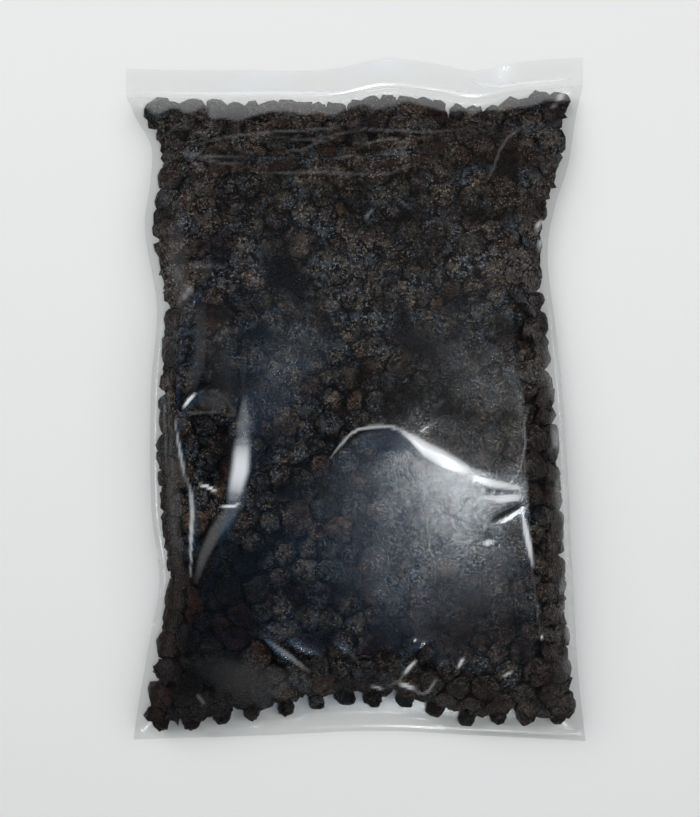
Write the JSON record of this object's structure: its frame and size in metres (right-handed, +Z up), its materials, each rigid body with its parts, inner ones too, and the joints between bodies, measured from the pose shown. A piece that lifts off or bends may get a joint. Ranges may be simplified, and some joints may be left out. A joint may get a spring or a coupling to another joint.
{
  "type": "bag of dried blackcurrants",
  "caption": "Clear heat-sealed pouch packed flat and tight with dried blackcurrants, lying on its back.",
  "frame": {"origin": "on the table, under the middle of the bag's box", "axes": "+Z up through the front film, +Y along the bag to its sealed mouth, +X across it"},
  "size_m": [0.16, 0.239, 0.0238],
  "materials": {
    "clear_film": "clear glossy film, creased where the fruit draws it tight",
    "fused_film": "clear film fused in a fine ribbed band, slightly cloudy",
    "black_fruit": "wrinkled purple-black skin with a soft sheen",
    "brown_fruit": "wrinkled red-brown skin with a soft sheen"
  },
  "bodies": {
    "root": {"pouch": "clear_film", "sealed_mouth": "fused_film", "packed_blackcurrants": "black_fruit", "blackcurrant_01": "black_fruit", "blackcurrant_02": "black_fruit", "blackcurrant_03": "brown_fruit", "blackcurrant_04": "black_fruit", "blackcurrant_05": "black_fruit", "blackcurrant_06": "brown_fruit", "blackcurrant_07": "brown_fruit", "blackcurrant_08": "black_fruit", "blackcurrant_09": "brown_fruit", "blackcurrant_10": "black_fruit", "blackcurrant_11": "black_fruit", "blackcurrant_12": "brown_fruit", "blackcurrant_13": "black_fruit", "blackcurrant_14": "black_fruit", "blackcurrant_15": "black_fruit", "blackcurrant_16": "brown_fruit", "blackcurrant_17": "black_fruit", "blackcurrant_18": "black_fruit", "blackcurrant_19": "black_fruit", "blackcurrant_20": "brown_fruit", "blackcurrant_21": "black_fruit", "blackcurrant_22": "black_fruit", "blackcurrant_23": "black_fruit", "blackcurrant_24": "black_fruit", "blackcurrant_25": "black_fruit", "blackcurrant_26": "black_fruit", "blackcurrant_27": "brown_fruit", "blackcurrant_28": "black_fruit", "blackcurrant_29": "black_fruit", "blackcurrant_30": "black_fruit", "blackcurrant_31": "black_fruit", "blackcurrant_32": "brown_fruit", "blackcurrant_33": "black_fruit", "blackcurrant_34": "brown_fruit", "blackcurrant_35": "black_fruit", "blackcurrant_36": "brown_fruit", "blackcurrant_37": "black_fruit", "blackcurrant_38": "brown_fruit", "blackcurrant_39": "black_fruit", "blackcurrant_40": "black_fruit", "blackcurrant_41": "black_fruit", "blackcurrant_42": "black_fruit", "blackcurrant_43": "brown_fruit", "blackcurrant_44": "brown_fruit", "blackcurrant_45": "black_fruit", "blackcurrant_46": "brown_fruit", "blackcurrant_47": "brown_fruit", "blackcurrant_48": "black_fruit", "blackcurrant_49": "brown_fruit", "blackcurrant_50": "black_fruit", "blackcurrant_51": "black_fruit", "blackcurrant_52": "black_fruit", "blackcurrant_53": "black_fruit", "blackcurrant_54": "black_fruit", "blackcurrant_55": "brown_fruit", "blackcurrant_56": "brown_fruit", "blackcurrant_57": "black_fruit"}
  },
  "joints": []
}
